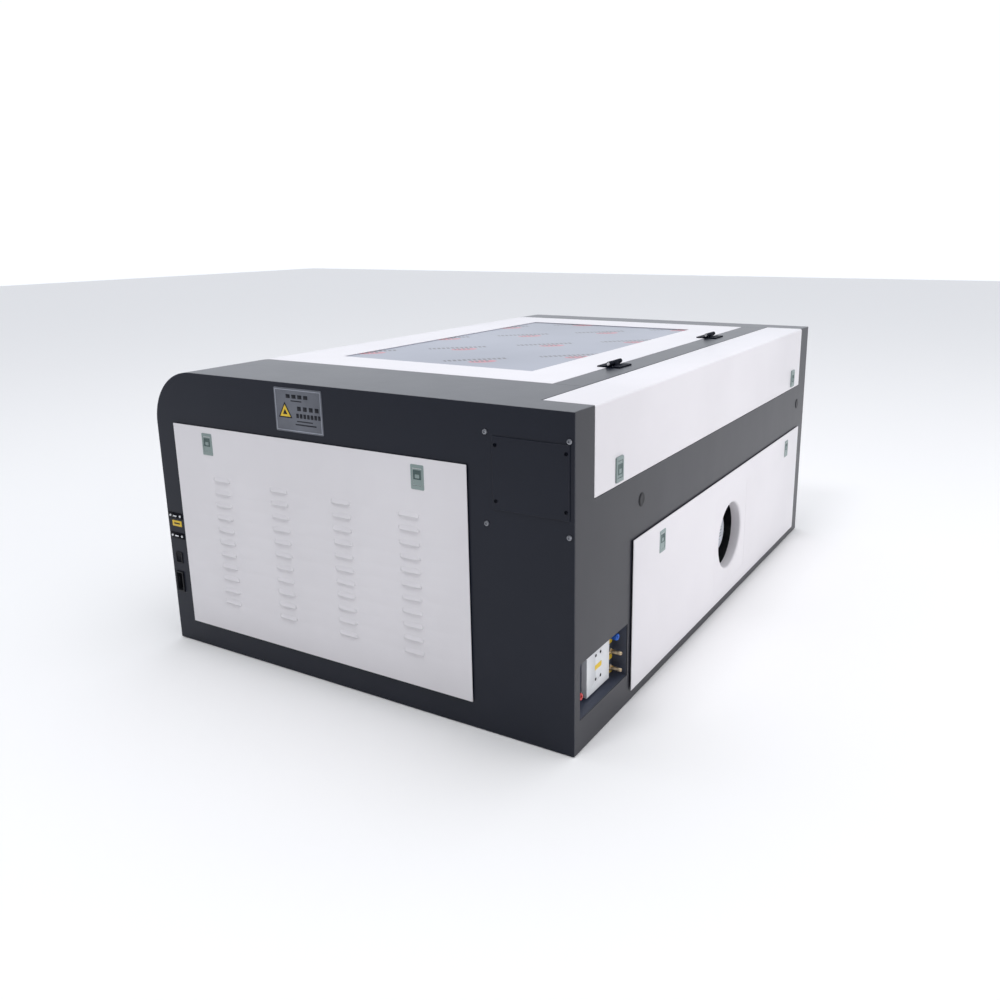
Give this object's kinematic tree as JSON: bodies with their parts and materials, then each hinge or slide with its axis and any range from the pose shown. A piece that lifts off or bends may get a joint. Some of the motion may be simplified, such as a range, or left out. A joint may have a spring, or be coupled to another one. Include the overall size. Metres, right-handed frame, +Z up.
{
  "type": "laser engraver",
  "caption": "Enclosed benchtop gas-laser engraver with a hinged window lid, a gantry over a lifting honeycomb bed, louvred side panels, a rear tube cover and a rear extraction fan.",
  "frame": {"origin": "under the middle of the body, on the surface that the rubber feet stand on", "axes": "+X to the operator's right, -Y to the operator in front, +Z up"},
  "size_m": [1.354, 0.971, 0.5815],
  "materials": {
    "graphite_paint": "satin dark anthracite powder coat",
    "white_paint": "satin white powder coat",
    "zinc_sheet": "zinc plated sheet",
    "grey_latch": "grey-green satin latch enamel",
    "black_plastic": "black moulded plastic",
    "black_metal": "gloss black enamel",
    "steel": "bright steel",
    "silver_plate": "embossed satin aluminium",
    "aluminium": "anodised extrusion",
    "film_acrylic": "acrylic sheet under protective film",
    "glass": "borosilicate tube",
    "rubber": "black rubber",
    "brass": "turned brass",
    "blue_plastic": "blue push-in fitting",
    "red_plastic": "red push-in fitting",
    "socket_white": "white moulded socket plate",
    "screen_glass": "dark glass screen",
    "stop_red": "red mushroom head"
  },
  "bodies": {
    "frame": {"right_side_wall": "graphite_paint", "left_side_wall": "graphite_paint", "rear_wall": "graphite_paint", "front_wall": "graphite_paint", "right_shroud": "graphite_paint", "left_shroud": "graphite_paint", "rear_deck": "graphite_paint", "base_pan": "graphite_paint", "access_plate": "graphite_paint", "control_panel": "graphite_paint", "chamber_walls": "white_paint", "tube_bay_tray": "white_paint", "chamber_rear_wall": "white_paint", "connector_recess": "white_paint", "hole_plugs": "black_plastic", "power_inlet": "black_plastic", "motion_controller": "black_plastic", "fan_frame": "black_plastic", "tube_clamps": "black_plastic", "earth_terminal": "black_plastic", "hinge_deck_leaves": "black_metal", "black_screws": "black_metal", "y_motor": "black_metal", "steel_screws": "steel", "y_rails": "steel", "lift_screws": "steel", "data_plate": "silver_plate", "data_ports": "silver_plate", "fixed_mirror": "aluminium", "laser_tube": "glass", "rubber_feet": "rubber", "water_barbs": "brass", "air_fitting_blue": "blue_plastic", "air_fitting_red": "red_plastic", "socket_plate": "socket_white", "screen": "screen_glass", "laser_power_supply": "zinc_sheet"},
    "lid": {"lid_frame": "white_paint", "lid_window": "film_acrylic", "lid_handle": "black_plastic", "hinge_lid_leaves": "black_metal"},
    "tube_cover": {"tube_cover": "white_paint"},
    "cover_latches": {"cover_latches": "grey_latch"},
    "right_panel": {"right_panel": "white_paint"},
    "right_latches": {"right_latches": "grey_latch"},
    "left_panel": {"left_panel": "white_paint"},
    "left_latches": {"left_latches": "grey_latch"},
    "rear_panel": {"rear_panel": "white_paint"},
    "rear_latches": {"rear_latches": "grey_latch"},
    "front_door": {"front_door": "white_paint"},
    "gantry": {"gantry_beam": "aluminium"},
    "head": {"laser_head": "aluminium"},
    "lens": {"lens_tube": "aluminium"},
    "table": {"work_table": "aluminium", "honeycomb_bed": "aluminium"},
    "fan_rotor": {"fan_rotor": "black_plastic"},
    "emergency_stop": {"emergency_stop": "stop_red"},
    "key_switch": {"key_switch": "black_plastic"},
    "rocker_switch": {"rocker_switch": "black_plastic"}
  },
  "joints": [
    {"name": "lid_hinge", "type": "hinge", "parent": "frame", "child": "lid", "pos_m": [0, 0.319, 0.577], "axis": [-1, 0, 0], "range_deg": [0, 65]},
    {"name": "cover_hinge", "type": "hinge", "parent": "frame", "child": "tube_cover", "pos_m": [0, 0.376, 0.569], "axis": [1, 0, 0], "range_deg": [0, 80]},
    {"name": "cover_latch_pull", "type": "hinge", "parent": "tube_cover", "child": "cover_latches", "pos_m": [0, 0.471, 0.463], "axis": [1, 0, 0], "range_deg": [0, 35], "stiffness_Nm_per_rad": 0.06, "springref_deg": -14.32},
    {"name": "right_panel_tilt", "type": "hinge", "parent": "frame", "child": "right_panel", "pos_m": [0.672, 0, 0.05], "axis": [0, 1, 0], "range_deg": [0, 80]},
    {"name": "right_latch_pull", "type": "hinge", "parent": "right_panel", "child": "right_latches", "pos_m": [0.673, 0, 0.449], "axis": [0, -1, 0], "range_deg": [0, 35], "stiffness_Nm_per_rad": 0.06, "springref_deg": -14.32},
    {"name": "left_panel_tilt", "type": "hinge", "parent": "frame", "child": "left_panel", "pos_m": [-0.672, 0, 0.05], "axis": [0, -1, 0], "range_deg": [0, 80]},
    {"name": "left_latch_pull", "type": "hinge", "parent": "left_panel", "child": "left_latches", "pos_m": [-0.673, 0, 0.449], "axis": [0, 1, 0], "range_deg": [0, 35], "stiffness_Nm_per_rad": 0.06, "springref_deg": -14.32},
    {"name": "rear_panel_tilt", "type": "hinge", "parent": "frame", "child": "rear_panel", "pos_m": [0, 0.472, 0.022], "axis": [-1, 0, 0], "range_deg": [0, 85]},
    {"name": "rear_latch_pull", "type": "hinge", "parent": "rear_panel", "child": "rear_latches", "pos_m": [0, 0.473, 0.283], "axis": [1, 0, 0], "range_deg": [0, 35], "stiffness_Nm_per_rad": 0.06, "springref_deg": -14.32},
    {"name": "front_door_drop", "type": "hinge", "parent": "frame", "child": "front_door", "pos_m": [0, -0.472, 0.262], "axis": [1, 0, 0], "range_deg": [0, 90]},
    {"name": "gantry_slide", "type": "slide", "parent": "frame", "child": "gantry", "axis": [0, -1, 0], "range_m": [0, 0.56]},
    {"name": "head_slide", "type": "slide", "parent": "gantry", "child": "head", "axis": [-1, 0, 0], "range_m": [0, 0.84]},
    {"name": "lens_focus", "type": "slide", "parent": "head", "child": "lens", "axis": [0, 0, -1], "range_m": [0, 0.015]},
    {"name": "table_lift", "type": "slide", "parent": "frame", "child": "table", "axis": [0, 0, -1], "range_m": [0, 0.12]},
    {"name": "fan_spin", "type": "hinge", "parent": "frame", "child": "fan_rotor", "pos_m": [-0.072, 0.425, 0.16], "axis": [0, 1, 0], "continuous": true},
    {"name": "stop_push", "type": "slide", "parent": "frame", "child": "emergency_stop", "axis": [0, 1, 0], "range_m": [0, 0.005], "stiffness_N_per_m": 800, "springref_m": -0.002},
    {"name": "key_turn", "type": "hinge", "parent": "frame", "child": "key_switch", "pos_m": [0.517, -0.474, 0.332], "axis": [0, -1, 0], "range_deg": [0, 90]},
    {"name": "rocker_tilt", "type": "hinge", "parent": "frame", "child": "rocker_switch", "pos_m": [0.668, -0.449, 0.182], "axis": [0, 1, 0], "range_deg": [0, 10]}
  ]
}
